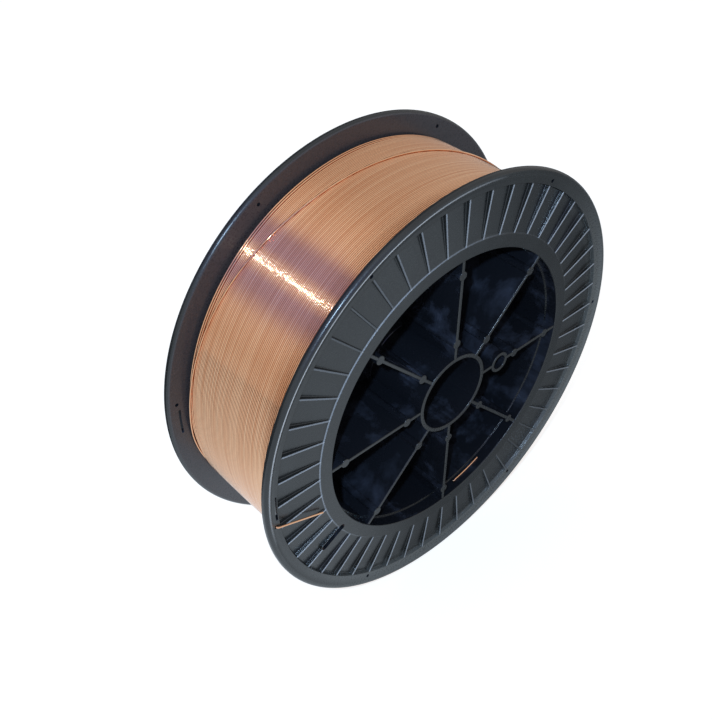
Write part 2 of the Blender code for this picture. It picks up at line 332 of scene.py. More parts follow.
@dataclass(frozen=True)
class SatinPlastic:
    """Black high-impact polystyrene, moulded against a fine spark-eroded steel face."""

    name: str = "satin_moulded_polystyrene"
    colour: str = "#141617"
    ior: float = 1.59
    roughness: Pair = (0.24, 0.34)
    grain_mm: float = 1.3
    grain_span: Pair = (0.3, 0.7)
    grain_strength: float = 0.12
    grain_depth: float = 0.05 * MM
    rubbed: str = "#1e2122"
    patch_mm: float = 34.0
    patch_span: Pair = (0.42, 0.78)
    # Painted sheen on the raised faces near the rim, paler on the lower-right side.
    rim_sheen: str = "#5c5e5d"
    sheen_radii: Pair = (133.0 * MM, 141.0 * MM)
    sheen_heights: Pair = (45.2 * MM, 46.6 * MM)
    sheen_fade_radii: Pair = (147.5 * MM, 149.3 * MM)
    sheen_way: Triple = (0.64, 0.0, -0.77)
    sheen_span: Pair = (-0.4, 0.75)
    # Painted highlight along the bead's crest, on the side towards the lamp by the camera.
    crest_highlight: str = "#d0d2d6"
    crest_radius: float = 146.5 * MM
    crest_reach: Pair = (0.5 * MM, 1.1 * MM)
    crest_heights: Pair = (48.8 * MM, 49.1 * MM)
    crest_way: Triple = (-0.707, 0.0, 0.707)
    crest_span: Pair = (0.55, 0.94)
    # Painted glints along the rib tops and the steps at their inner ends.
    edge_glint: str = "#9fa4ad"
    rib_count: int = 48
    rib_reach: Pair = (0.35 * MM, 0.85 * MM)
    rib_ends: Pair = (109.4 * MM, 140.2 * MM)
    rib_fade: float = 0.6 * MM
    rib_heights: Pair = (48.2 * MM, 48.4 * MM)
    rib_way: Triple = (-0.766, 0.0, -0.643)
    rib_span: Pair = (0.1, 0.95)
    rib_least: float = 0.12
    step_radius: float = 109.85 * MM
    step_reach: Pair = (0.3 * MM, 0.75 * MM)
    step_heights: Pair = (47.9 * MM, 48.2 * MM)
    step_way: Triple = (-0.866, 0.0, 0.5)
    step_span: Pair = (0.2, 0.85)
    step_least: float = 0.1
    # Painted reflection of the copper winding on the flange's inner face.
    copper_reflection: str = "#3d383a"
    reflection_heights: Pair = (45.1 * MM, 45.6 * MM)
    reflection_radii: Pair = (101.0 * MM, 102.0 * MM)

    def make(self) -> Material:
        """Build the material.

        Returns:
            A satin black with paler random patches, painted highlights along the bead's crest, rib
            tops, steps and the lower-right rim, and a painted copper reflection between the flanges.
        """
        # The real one is a carbon-filled thermoplastic. It mirrors softly, because its mould was
        # spark-eroded, and its rubbed patches are a little paler.
        material, tree = new_material(self.name)
        place = add_node(tree, "ShaderNodeTexCoord").outputs["Object"]
        patches, grain = (
            add_node(
                tree, "ShaderNodeTexNoise",
                {"Vector": place, "Scale": 1000.0 / size, "Detail": detail, "Roughness": rough},
            )
            for size, detail, rough in ((self.patch_mm, 4.0, 0.6), (self.grain_mm, 2.0, 0.5))
        )
        apart = add_node(tree, "ShaderNodeSeparateXYZ", {"Vector": place})
        height = add_node(tree, "ShaderNodeMath", {0: apart.outputs["Y"]}, operation="ABSOLUTE")
        flat = add_node(tree, "ShaderNodeVectorMath", {0: place, 1: ACROSS}, operation="MULTIPLY")
        radius = add_node(tree, "ShaderNodeVectorMath", {0: flat}, operation="LENGTH")
        outward = add_node(tree, "ShaderNodeVectorMath", {0: flat}, operation="NORMALIZE")
        sheen_side, crest_lit_side, rib_side, step_side = (
            add_node(tree, "ShaderNodeVectorMath", {0: outward, 1: way}, operation="DOT_PRODUCT")
            for way in (self.sheen_way, self.crest_way, self.rib_way, self.step_way)
        )
        lying = add_node(tree, "ShaderNodeMath", {0: rib_side}, operation="ABSOLUTE")
        off_crest, off_step = (
            add_node(tree, "ShaderNodeMath", {0: radius, 1: at}, operation="SUBTRACT")
            for at in (self.crest_radius, self.step_radius)
        )
        by_crest, by_step = (
            add_node(tree, "ShaderNodeMath", {0: off}, operation="ABSOLUTE")
            for off in (off_crest, off_step)
        )
        # Distance from the nearest rib's middle: the turn is cut into pitches, centred on ribs.
        by_rib: Value = apart.outputs["Z"]
        for operation, others in (
            ("ARCTAN2", {1: apart.outputs["X"]}),
            ("MULTIPLY_ADD", {1: self.rib_count / math.tau, 2: 0.5}),
            ("FRACT", {}),
            ("SUBTRACT", {1: 0.5}),
            ("ABSOLUTE", {}),
            ("MULTIPLY", {1: radius}),
        ):
            by_rib = add_node(tree, "ShaderNodeMath", {0: by_rib, **others}, operation=operation)
        pitch = math.tau / self.rib_count
        near, far = (reach / pitch for reach in self.rib_reach)
        first, last = self.rib_ends
        fade = self.rib_fade
        looks = (
            (self.rubbed, Share(patches, *self.patch_span)),
            # Painted sheen: raised faces near the rim are paler on their lower-right side, where the
            # light catches them, fading out towards the rim.
            (self.rim_sheen, Share(height, *self.sheen_heights), Share(radius, *self.sheen_radii),
             Share(radius, *self.sheen_fade_radii, 1.0, 0.0),
             Share(sheen_side, *self.sheen_span, blend=Blend.SOFT)),
            # Painted highlight: the bead's crest is pale on the upper-left side, towards the lamp by
            # the camera.
            (self.crest_highlight, Share(by_crest, *self.crest_reach, 1.0, 0.0, Blend.SOFT),
             Share(crest_lit_side, *self.crest_span), Share(height, *self.crest_heights)),
            # Painted glints: rib tops and the step at their inner ends get thin pale lines, each
            # strongest on the side of the flange where its edge would catch the lamp by the camera.
            (self.edge_glint, Share(by_rib, near, far, 1.0, 0.0), Share(radius, first, first + fade),
             Share(radius, last - fade, last, 1.0, 0.0), Share(lying, *self.rib_span, self.rib_least),
             Share(height, *self.rib_heights)),
            (self.edge_glint, Share(by_step, *self.step_reach, 1.0, 0.0),
             Share(step_side, *self.step_span, self.step_least),
             Share(height, *self.step_heights)),
            # Painted reflection: the flange's inner face between the flanges is tinted brown, as if
            # it mirrored the copper winding.
            (self.copper_reflection, Share(height, *self.reflection_heights, 1.0, 0.0),
             Share(radius, *self.reflection_radii)),
        )
        colour: Value = linear(self.colour)
        for over, *shares in looks:
            # A look shows only where all of its shares are high.
            amount: Value = 1.0
            for share in shares:
                level = add_node(
                    tree, "ShaderNodeMapRange",
                    (share.value, share.start, share.end, share.low, share.high),
                    interpolation_type=share.blend.value,
                )
                amount = add_node(tree, "ShaderNodeMath", (amount, level), operation="MULTIPLY")
            colour = add_node(
                tree, "ShaderNodeMix", {0: amount, 6: colour, 7: linear(over)}, data_type="RGBA"
            )
        # The eroded grain is about 0.05 mm in life. It is drawn coarser so that it shows.
        roughness = add_node(
            tree, "ShaderNodeMapRange", (grain, *self.grain_span, *self.roughness)
        )
        bump = add_node(
            tree, "ShaderNodeBump",
            {"Height": grain, "Strength": self.grain_strength, "Distance": self.grain_depth},
        )
        shader = add_node(
            tree, "ShaderNodeBsdfPrincipled",
            {"Base Color": colour, "Roughness": roughness, "Normal": bump, "IOR": self.ior},
        )
        add_node(tree, "ShaderNodeOutputMaterial", {"Surface": shader})
        return material


@dataclass(frozen=True)
class PolishedPlastic:
    """The same polystyrene off a polished core, which leaves the recess glossy, with a bluish haze
    that is partly painted reflection.
    """

    name: str = "polished_moulded_polystyrene"
    colour: str = "#181a20"
    # Pale bluish clouds, partly haze and partly painted reflection.
    haze_and_reflection: str = "#4c5366"
    ior: float = 1.59
    specular: float = 0.3
    roughness: Pair = (0.16, 0.42)
    cloud_mm: float = 26.0
    cloud_span: Pair = (0.49, 0.76)
    streak_scale: float = 14.0
    streak_span: Pair = (0.36, 0.66)
    streak_least: float = 0.2

    def make(self) -> Material:
        """Build the material.

        Returns:
            A near-black gloss with cloudy bluish patches, partly haze and partly painted reflection.
        """
        # The real one flows over a polished core. Pale bluish clouds are painted into its colour,
        # partly haze from mould release and partly painted reflection, drawn out along the flow from
        # the hub to the rim.
        material, tree = new_material(self.name)
        place = add_node(tree, "ShaderNodeTexCoord").outputs["Object"]
        clouds = add_node(
            tree, "ShaderNodeTexNoise",
            {"Vector": place, "Scale": 1000.0 / self.cloud_mm, "Detail": 5.0,
             "Roughness": 0.62, "Distortion": 0.2},
        )
        # Streaks run outwards: they change fast round the axis and slowly along the radius.
        flat = add_node(tree, "ShaderNodeVectorMath", {0: place, 1: ACROSS}, operation="MULTIPLY")
        outward = add_node(tree, "ShaderNodeVectorMath", {0: flat}, operation="NORMALIZE")
        length = add_node(tree, "ShaderNodeVectorMath", {0: flat}, operation="LENGTH")
        streaks = add_node(
            tree, "ShaderNodeTexNoise",
            {"Vector": outward, "W": length, "Scale": self.streak_scale, "Detail": 3.0,
             "Roughness": 0.55},
            noise_dimensions="4D",
        )
        cloudy = add_node(tree, "ShaderNodeMapRange", (clouds, *self.cloud_span))
        streaky = add_node(
            tree, "ShaderNodeMapRange", (streaks, *self.streak_span, self.streak_least)
        )
        amount = add_node(tree, "ShaderNodeMath", (cloudy, streaky), operation="MULTIPLY")
        # The clouds are painted into the colour: partly haze, partly painted reflection.
        colour = add_node(
            tree, "ShaderNodeMix", {0: amount, 6: linear(self.colour), 7: linear(self.haze_and_reflection)},
            data_type="RGBA",
        )
        roughness = add_node(tree, "ShaderNodeMapRange", (amount, 0.0, 1.0, *self.roughness))
        shader = add_node(
            tree, "ShaderNodeBsdfPrincipled",
            {"Base Color": colour, "Roughness": roughness, "IOR": self.ior,
             "Specular IOR Level": self.specular},
        )
        add_node(tree, "ShaderNodeOutputMaterial", {"Surface": shader})
        return material


@dataclass(frozen=True)
class CopperCoat:
    """Drawn mild-steel wire with a bright copper flash, put on in a bath and drawn smooth."""

    name: str = "copper_coated_drawn_wire"
    bright: str = "#fcc79c"
    deep: str = "#dd9565"
    roughness: float = 0.055
    film_share: float = 0.8
    film_roughness: float = 0.09
    film_ior: float = 1.48
    wire_mm: float = 1.2
    turn_offset: float = 0.25
    run_mm: float = 110.0
    own_tone: float = 0.13
    tone_span: Pair = (0.3, 0.95)

    def make(self) -> Material:
        """Build the material.

        Returns:
            A bright copper that differs a little from turn to turn.
        """
        # The real one is metal all through. The last die polishes it along its length, and
        # the thin coat varies in tone, so each turn is a slightly different line.
        material, tree = new_material(self.name)
        place = add_node(tree, "ShaderNodeTexCoord").outputs["Object"]
        parts = add_node(tree, "ShaderNodeSeparateXYZ", {"Vector": place})
        turn = add_node(
            tree, "ShaderNodeMath",
            {0: parts.outputs["Y"], 1: 1000.0 / self.wire_mm, 2: self.turn_offset},
            operation="MULTIPLY_ADD",
        )
        number = add_node(tree, "ShaderNodeMath", {0: turn}, operation="FLOOR")
        own = add_node(tree, "ShaderNodeTexWhiteNoise", {"W": number}, noise_dimensions="1D")
        run = 1000.0 / self.run_mm
        scaled = add_node(
            tree, "ShaderNodeVectorMath", {0: place, 1: (run, 0.0, run)}, operation="MULTIPLY"
        )
        along = add_node(
            tree, "ShaderNodeTexNoise",
            {"Vector": scaled, "W": number, "Scale": 1.0, "Detail": 1.0, "Roughness": 0.5},
            noise_dimensions="4D",
        )
        tone = add_node(
            tree, "ShaderNodeMath", {0: own, 1: self.own_tone, 2: along}, operation="MULTIPLY_ADD"
        )
        amount = add_node(tree, "ShaderNodeMapRange", (tone, *self.tone_span))
        colour = add_node(
            tree, "ShaderNodeMix", {0: amount, 6: linear(self.bright), 7: linear(self.deep)},
            data_type="RGBA",
        )
        # A trace of drawing oil lies over the coat and gives each glint a soft white edge.
        shader = add_node(
            tree, "ShaderNodeBsdfPrincipled",
            {"Base Color": colour, "Metallic": 1.0, "Roughness": self.roughness,
             "Coat Weight": self.film_share, "Coat Roughness": self.film_roughness,
             "Coat IOR": self.film_ior},
        )
        add_node(tree, "ShaderNodeOutputMaterial", {"Surface": shader})
        return material


# The two mouldings


@dataclass
class SpoolHalf:
    """One injection-moulded half of the spool, with its flange, barrel, hub and spokes."""

    rim_radius: float = 149.85 * MM
    rim_face: float = -50.0 * MM
    flange_face: float = -48.5 * MM
    flange_back: float = -45.0 * MM
    joint_face: float = -0.15 * MM
    web_face: float = -2.35 * MM
    ledge_face: float = -40.0 * MM
    bead_radius: float = 2.3 * MM
    bead_lean: float = 33.0
    hollow_steps: int = 6
    bead_steps: int = 12
    band_outer: float = 140.2 * MM
    band_inner: float = 109.4 * MM
    mouth_radius: float = 100.4 * MM
    chamber_radius: float = 99.3 * MM
    barrel_radius: float = 102.5 * MM
    hub_radius: float = 28.45 * MM
    bore_radius: float = 25.75 * MM
    bore_round: float = 0.5 * MM
    hub_round: float = 0.4 * MM
    root_round: float = 0.8 * MM
    ledge_round: float = 0.3 * MM
    mouth_round: float = 0.5 * MM
    back_round: float = 2.2 * MM
    pocket_count: int = 48
    pocket_steps: int = 5
    rib_thickness: float = 1.2 * MM
    pocket_ramp: float = 1.6 * MM
    pocket_depths: Triple = (0.3 * MM, 1.0 * MM, 2.6 * MM)
    pocket_drafts: Pair = (0.15 * MM, 0.5 * MM)
    pocket_margin: float = 0.1 * MM
    edge_radius: float = 0.3 * MM
    foot_radius: float = 0.35 * MM
    sharp_turn: float = 21.0
    round_sides: int = 48
    spoke_count: int = 8
    spoke_tip: float = 2.2 * MM
    spoke_root: float = 3.0 * MM
    spoke_sink: float = 0.3 * MM
    spoke_round: float = 0.5 * MM
    spoke_foot: float = 1.1 * MM
    hub_overlap: float = 1.3 * MM
    tube_overlap: float = 1.0 * MM
    boss_radius: float = 3.0 * MM
    boss_sink: float = 0.1 * MM
    boss_round: float = 0.45 * MM
    boss_foot: float = 0.7 * MM
    boss_sides: int = 24
    boss_places: Pair = (39.95 * MM, 90.0 * MM)
    drive_spoke_boss: float = 59.0 * MM
    drive_hole_at: float = 44.5 * MM
    drive_hole_radius: float = 5.2 * MM
    drive_tube_radius: float = 7.5 * MM
    drive_tube_sink: float = 0.2 * MM
    drive_tube_foot: float = 0.5 * MM
    drive_tube_round: float = 0.4 * MM
    wire_hole_at: float = 143.3 * MM
    wire_hole_radius: float = 1.2 * MM
    wire_hole_sides: int = 20
    wire_hole_angles: tuple[float, ...] = (0.0, 60.0, 120.0, 240.0, 300.0, 185.7)
    clip_slot_at: float = 141.7 * MM
    clip_slot_width: float = 1.5 * MM
    clip_slot_angles: Pair = (176.0, 183.7)
    clip_slot_steps: int = 8
    start_slot_angle: float = 210.0
    start_slot_width: float = 4.2 * MM
    start_slot_ends: Pair = (108.4 * MM, 124.6 * MM)
    start_slot_lip: float = 0.6 * MM
    start_slot_lip_sink: float = 0.1 * MM
    start_slot_lip_foot: float = 0.45 * MM
    start_hole_angle: float = -80.5
    start_hole_y: float = -42.9 * MM
    cut_past: float = 2.0 * MM
    hole_margin: float = 0.06 * MM
    recess_margins: Pair = (0.9 * MM, 0.5 * MM)
    ledge_margin: float = 0.3 * MM
    mouth_margin: float = 0.2 * MM

    def bead(self) -> list[Triple]:
        """List the soft hollow that rises to the bead, and the bead's front quarter.

        Returns:
            Radius, place along the axis and no rounding, for each point from the face outwards.
        """
        lean, size = math.radians(self.bead_lean), self.bead_radius
        middle = self.rim_radius - size
        rise = self.flange_face - self.rim_face - size * (1.0 - math.cos(lean))
        hollow = rise / (1.0 - math.cos(lean))
        start = middle - (size + hollow) * math.sin(lean)
        points = []
        for i in range(self.hollow_steps):
            t = lean * i / self.hollow_steps
            y = self.flange_face - hollow * (1.0 - math.cos(t))
            points.append((start + hollow * math.sin(t), y, 0.0))
        for i in range(self.bead_steps + 1):
            t = -lean + (math.pi / 2.0 + lean) * i / self.bead_steps
            y = self.rim_face + size * (1.0 - math.cos(t))
            points.append((middle + size * math.sin(t), y, 0.0))
        return points

    def outline(self) -> list[Triple]:
        """List the half's section, clockwise from the front of its bore.

        Returns:
            Radius, place along the axis and rounding of each corner.
        """
        front, back = self.flange_face, self.flange_back
        return [
            (self.bore_radius, front, self.bore_round),
            (self.hub_radius, front, self.hub_round),
            (self.hub_radius, self.web_face, self.root_round),
            (self.chamber_radius, self.web_face, self.root_round),
            (self.chamber_radius, self.ledge_face, self.ledge_round),
            (self.mouth_radius, self.ledge_face, self.ledge_round),
            (self.mouth_radius, front, self.mouth_round),
            (self.band_inner, front, 0.0),
            (self.band_inner + self.pocket_ramp, front, 0.0),
            (self.band_outer, front, 0.0),
            *self.bead(),
            (self.rim_radius, back, self.back_round),
            (self.barrel_radius, back, self.root_round),
            (self.barrel_radius, self.joint_face, 0.0),
            (self.bore_radius, self.joint_face, 0.0),
        ]

    def spin_sector(self, bm: BMesh) -> None:
        """Spin the section over one pocket's pitch, from rib middle to rib middle.

        Args:
            bm: An empty bmesh, which gets the sector.
        """
        pitch = 360.0 / self.pocket_count
        rib = math.degrees(self.rib_thickness / (self.band_inner + self.band_outer))
        geom = section(bm, self.outline())
        for degrees, steps in ((rib, 1), (pitch - 2.0 * rib, self.pocket_steps), (rib, 1)):
            geom = spin(bm, geom, math.radians(degrees), steps, (0.0, -1.0, 0.0))
        # The ribs are as thick at the rim as at the barrel, so their sides are parallel.
        for point in bm.verts:
            radius, degrees = radius_of(point.co), angle_of(point.co)
            on_face = abs(point.co.y - self.flange_face) < LEVEL
            if on_face and self.band_inner - TOUCH < radius < self.band_outer + TOUCH:
                own = math.degrees(math.asin(self.rib_thickness / 2.0 / radius))
                if abs(degrees - rib) < 0.01:
                    point.co = polar(radius, own, point.co.y)
                elif abs(degrees - pitch + rib) < 0.01:
                    point.co = polar(radius, pitch - own, point.co.y)

    def sink_pocket(self, bm: BMesh) -> None:
        """Sink the pocket of one sector, with a ramp at its inner end and rounded edges.

        Args:
            bm: The sector.
        """
        pitch = 360.0 / self.pocket_count
        floor = []
        for face in bm.faces:
            middle = face.calc_center_median()
            inside = self.band_inner < radius_of(middle) < self.band_outer
            between = 0.5 < angle_of(middle) < pitch - 0.5
            if inside and between and abs(middle.y - self.flange_face) < LEVEL:
                floor.append(face)
        made = bmesh.ops.extrude_face_region(bm, geom=floor)
        bmesh.ops.delete(bm, geom=floor, context="FACES")
        step, ramp_foot, deepest = self.pocket_depths
        rib_draft, end_draft = self.pocket_drafts
        for point in verts_in(made["geom"]):
            radius, degrees = radius_of(point.co), angle_of(point.co)
            y, side_draft = point.co.y + deepest, rib_draft
            if radius < self.band_inner + self.pocket_ramp / 2.0:
                y, side_draft = point.co.y + step, 0.0
            elif radius < self.band_outer - self.pocket_ramp / 2.0:
                y = point.co.y + ramp_foot
            else:
                radius -= end_draft
            own = math.degrees(math.asin((self.rib_thickness / 2.0 + side_draft) / radius))
            if degrees < 1.0:
                degrees = own
            elif degrees > pitch - 1.0:
                degrees = pitch - own
            point.co = polar(radius, degrees, y)
        bm.normal_update()
        margin = self.pocket_margin
        low, high = self.band_inner - margin, self.band_outer + margin
        rims, feet = [], []
        for edge in bm.edges:
            steep = [abs(face.normal.y) < 0.5 for face in edge.link_faces]
            radii = [radius_of(v.co) for v in edge.verts]
            within = min(radii) > low and max(radii) < high
            if not within or len(steep) != 2 or all(steep) or not any(steep):
                continue
            depths = [v.co.y - self.flange_face for v in edge.verts]
            if max(depths) < LEVEL:
                rims.append(edge)
            elif min(depths) > ramp_foot - margin / 2.0 and max(depths) < deepest + margin / 2.0:
                feet.append(edge)
        round_off(bm, feet, self.foot_radius)
        round_off(bm, [edge for edge in rims if edge.is_valid], self.edge_radius)

    def ring(self) -> Mesh:
        """Build the turned body with its 48 pockets.

        Returns:
            The closed mesh.
        """
        bm = bmesh.new()
        self.spin_sector(bm)
        self.sink_pocket(bm)
        copies = self.pocket_count - 1
        angle = math.tau * copies / self.pocket_count
        sector = bm.verts[:] + bm.edges[:] + bm.faces[:]
        spin(bm, sector, angle, copies, (0.0, -1.0, 0.0), use_duplicate=True)
        bmesh.ops.remove_doubles(bm, verts=bm.verts[:], dist=TOUCH)
        return mesh_of(bm, "half_ring", self.sharp_turn)

    def post(
        self, bm: BMesh, radius: float, length: float, place: Matrix, sides: int
    ) -> list[BMVert]:
        """Add a round post.

        Args:
            bm: The mesh that gets it.
            radius: Its radius.
            length: Its length.
            place: Its middle, and the turn that brings +Z to its axis.
            sides: Its number of sides.

        Returns:
            Its points.
        """
        made = bmesh.ops.create_cone(
            bm, cap_ends=True, segments=sides, radius1=radius, radius2=radius, depth=length,
            matrix=place,
        )
        return made["verts"]

    def axial_post(
        self, bm: BMesh, centre: Vector, radius: float, ends: Pair, sides: int
    ) -> list[BMVert]:
        """Add a round post along the axis.

        Args:
            bm: The mesh that gets it.
            centre: Its middle across the axis.
            radius: Its radius.
            ends: Its front and its back.
            sides: Its number of sides.

        Returns:
            Its points.
        """
        front, back = ends
        middle = Matrix.Translation(Vector((centre.x, (front + back) / 2.0, centre.z)))
        place = middle @ Matrix.Rotation(math.pi / 2.0, 4, "X")
        return self.post(bm, radius, back - front, place, sides)

    def slot_post(self, bm: BMesh, width: float, ends: Pair) -> list[BMVert]:
        """Add a long post with round ends where the start slot is.

        Args:
            bm: The mesh that gets it.
            width: Its width across.
            ends: Its front and its back.

        Returns:
            Its points.
        """
        inner, outer = self.start_slot_ends
        verts = self.axial_post(bm, Vector(ORIGIN), width / 2.0, ends, self.boss_sides)
        for point in verts:
            point.co.x += outer if point.co.x > 0.0 else inner
        turn = Matrix.Rotation(-math.radians(self.start_slot_angle), 3, "Y")
        bmesh.ops.rotate(bm, cent=ORIGIN, matrix=turn, verts=verts)
        return verts

    def lip(self) -> Mesh:
        """Build the raised lip round the start slot, as a solid that is joined to the flange.

        Returns:
            The closed mesh.
        """
        bm = bmesh.new()
        front = self.flange_face + self.start_slot_lip_sink
        width = self.start_slot_width + 2.0 * self.start_slot_lip
        self.slot_post(bm, width, (front, self.flange_back - self.start_slot_lip_foot))
        round_off(bm, level_edges(bm.edges, front), self.edge_radius)
        return mesh_of(bm, "slot_lip", self.sharp_turn)

    def holes(self) -> Mesh:
        """Build the cutters of the drive hole, the wire holes and the slots.

        Returns:
            One mesh of separate closed cutters.
        """
        bm = bmesh.new()
        start = self.rim_face - self.cut_past
        through = (start, self.flange_back + self.cut_past)
        deep = (start, self.joint_face + self.cut_past)
        pin = polar(self.drive_hole_at, 0.0)
        self.axial_post(bm, pin, self.drive_hole_radius, deep, self.round_sides)
        for degrees in self.wire_hole_angles:
            at = polar(self.wire_hole_at, degrees)
            self.axial_post(bm, at, self.wire_hole_radius, through, self.wire_hole_sides)
        self.slot_post(bm, self.start_slot_width, through)
        first, last = self.clip_slot_angles
        count = self.clip_slot_steps
        turns = [first + (last - first) * i / count for i in range(count + 1)]
        half = self.clip_slot_width / 2.0
        ring = [polar(self.clip_slot_at - half, turn, start) for turn in turns]
        ring += [polar(self.clip_slot_at + half, turn, start) for turn in reversed(turns)]
        sheet = bm.faces.new([bm.verts.new(point) for point in ring])
        made = bmesh.ops.extrude_face_region(bm, geom=[sheet], use_keep_orig=True)
        depth = Vector((0.0, through[1] - start, 0.0))
        bmesh.ops.translate(bm, verts=verts_in(made["geom"]), vec=depth)
        # The start hole goes through the barrel's wall, so its cutter points outwards.
        at = polar(self.mouth_radius, self.start_hole_angle, self.start_hole_y)
        aim = polar(1.0, self.start_hole_angle).to_track_quat("Z", "Y").to_matrix().to_4x4()
        wall = self.barrel_radius - self.chamber_radius
        place = Matrix.Translation(at) @ aim
        self.post(bm, self.wire_hole_radius, wall * 2.0, place, self.wire_hole_sides)
        return mesh_of(bm, "half_holes", self.sharp_turn)

    def spokes(self, bm: BMesh) -> None:
        """Add the eight drafted spokes with their round ejector bosses.

        Args:
            bm: The half's mesh.
        """
        wall = (self.barrel_radius - self.chamber_radius) / 3.0
        hub, rim = self.hub_radius - self.hub_overlap, self.chamber_radius + wall
        tube = self.drive_tube_radius - self.tube_overlap
        front, bottom = self.flange_face + self.boss_sink, self.web_face + self.boss_foot
        for index in range(self.spoke_count):
            drive = index == 0
            split = [self.drive_hole_at - tube, self.drive_hole_at + tube] if drive else []
            ends = [hub, *split, rim]
            verts: list[BMVert] = []
            for inner, outer in zip(ends[::2], ends[1::2]):
                verts += self.plate(bm, inner, outer)
            inner_boss = self.drive_spoke_boss if drive else self.boss_places[0]
            for radius in (inner_boss, self.boss_places[1]):
                at = polar(radius, 0.0)
                post = self.axial_post(bm, at, self.boss_radius, (front, bottom), self.boss_sides)
                verts += self.soften(bm, post, front, self.boss_round)
            turn = Matrix.Rotation(-math.tau * index / self.spoke_count, 3, "Y")
            bmesh.ops.rotate(bm, cent=ORIGIN, matrix=turn, verts=verts)

    def soften(self, bm: BMesh, verts: list[BMVert], front: float, size: float) -> list[BMVert]:
        """Round a form's front edges and list all of its points.

        Args:
            bm: The mesh.
            verts: The form's points.
            front: Where its front face lies.
            size: The radius of the rounding.

        Returns:
            The form's points after the rounding.
        """
        own = set(verts)
        others = {v for v in bm.verts if v not in own}
        round_off(bm, level_edges({e for v in verts for e in v.link_edges}, front), size)
        return [v for v in bm.verts if v not in others]

    def plate(self, bm: BMesh, inner: float, outer: float) -> list[BMVert]:
        """Add one drafted spoke plate along +X.

        Args:
            bm: The mesh that gets it.
            inner: Where it starts from the axis.
            outer: Where it ends.

        Returns:
            Its points.
        """
        front, back = self.flange_face + self.spoke_sink, self.web_face + self.spoke_foot
        middle = Vector(((inner + outer) / 2.0, (front + back) / 2.0, 0.0))
        size = Matrix.Diagonal((outer - inner, back - front, self.spoke_tip, 1.0))
        made = bmesh.ops.create_cube(bm, size=1.0, matrix=Matrix.Translation(middle) @ size)
        foot = [v for v in made["verts"] if v.co.y > middle.y]
        bmesh.ops.scale(bm, vec=(1.0, 1.0, self.spoke_root / self.spoke_tip), verts=foot)
        return self.soften(bm, made["verts"], front, self.spoke_round)

    def drive_tube(self, bm: BMesh) -> None:
        """Add the tube round the drive pin's hole.

        Args:
            bm: The half's mesh.
        """
        part = bmesh.new()
        at = self.drive_hole_at
        inner, outer = at + self.drive_hole_radius, at + self.drive_tube_radius
        front, back = self.flange_face + self.drive_tube_sink, self.web_face + self.drive_tube_foot
        lips = [(radius, front, self.drive_tube_round) for radius in (inner, outer)]
        geom = section(part, [(inner, back, 0.0), *lips, (outer, back, 0.0)])
        centre = Vector((at, 0.0, 0.0))
        spin(part, geom, math.tau, self.round_sides, centre=centre, use_merge=True)
        take_in(bm, mesh_of(part, "drive_tube", self.sharp_turn))

    def carve(self) -> Mesh:
        """Join the slot's lip to the turned body and cut every hole.

        Returns:
            The carved mesh.
        """
        body = new_object("carved", self.ring())
        guides = [new_object("lip", self.lip()), new_object("cut", self.holes())]
        for guide, operation in zip(guides, ("UNION", "DIFFERENCE")):
            modifier = body.modifiers.new(guide.name, "BOOLEAN")
            modifier.operation = operation
            modifier.solver = "EXACT"
            modifier.object = guide
        mesh = evaluated_mesh(body)
        for item in (body, *guides):
            data = item.data
            bpy.data.objects.remove(item)
            bpy.data.meshes.remove(data)
        return mesh

    def in_hole(self, point: Vector) -> bool:
        """Tell whether a point lies on the wall of a wire hole or a slot of the flange.

        Args:
            point: The point.

        Returns:
            True on such a wall.
        """
        flat, margin = Vector((point.x, 0.0, point.z)), self.hole_margin
        inner, outer = (polar(radius, self.start_slot_angle) for radius in self.start_slot_ends)
        run = outer - inner
        along = min(max((flat - inner).dot(run) / run.length_squared, 0.0), 1.0)
        off_slot = (flat - inner - along * run).length
        off_holes = min((flat - polar(self.wire_hole_at, a)).length for a in self.wire_hole_angles)
        first, last = self.clip_slot_angles
        in_clip = first - 0.1 < angle_of(flat) % 360.0 < last + 0.1
        off_clip = abs(radius_of(flat) - self.clip_slot_at)
        return (
            off_slot < self.start_slot_width / 2.0 + margin
            or off_holes < self.wire_hole_radius + margin
            or (in_clip and off_clip < self.clip_slot_width / 2.0 + margin)
        )

    def build(self) -> Mesh:
        """Build the whole half in the front half's place.

        Returns:
            The mesh, with the recess faces on the second material.
        """
        bm = bmesh.new()
        take_in(bm, self.carve())
        self.spokes(bm)
        self.drive_tube(bm)
        below, above = self.recess_margins
        top, bottom = self.flange_face + below, self.joint_face - above
        for face in bm.faces:
            middle = face.calc_center_median()
            radius = radius_of(middle)
            level = abs(middle.y - self.ledge_face) < self.ledge_margin
            ledge = level and radius > self.chamber_radius
            inside = radius < self.mouth_radius + self.mouth_margin and not ledge
            recess = top < middle.y < bottom and inside
            steep = abs(face.normal.y) < 0.5
            face.material_index = int(recess or (steep and self.in_hole(middle)))
        return mesh_of(bm, "spool_half", self.sharp_turn)

    def dress(self, mesh: Mesh, side: Side, satin: Material, polished: Material) -> Object:
        """Put one half into the scene.

        Args:
            mesh: The half's mesh in the front half's place.
            side: Which half it is. The back one is turned over about X.
            satin: The finish of the flange and every tip.
            polished: The finish of the recess.

        Returns:
            The piece.
        """
        own = mesh.copy()
        own.name = side.value
        if side is Side.BACK:
            own.transform(Matrix.Rotation(math.pi, 4, "X"))
        piece = add_piece(f"moulded_{side.value}", own, [satin, polished], side.value)
        flats = piece.modifiers.new("clean_flats", "WEIGHTED_NORMAL")
        flats.keep_sharp = True
        return piece


# The wire


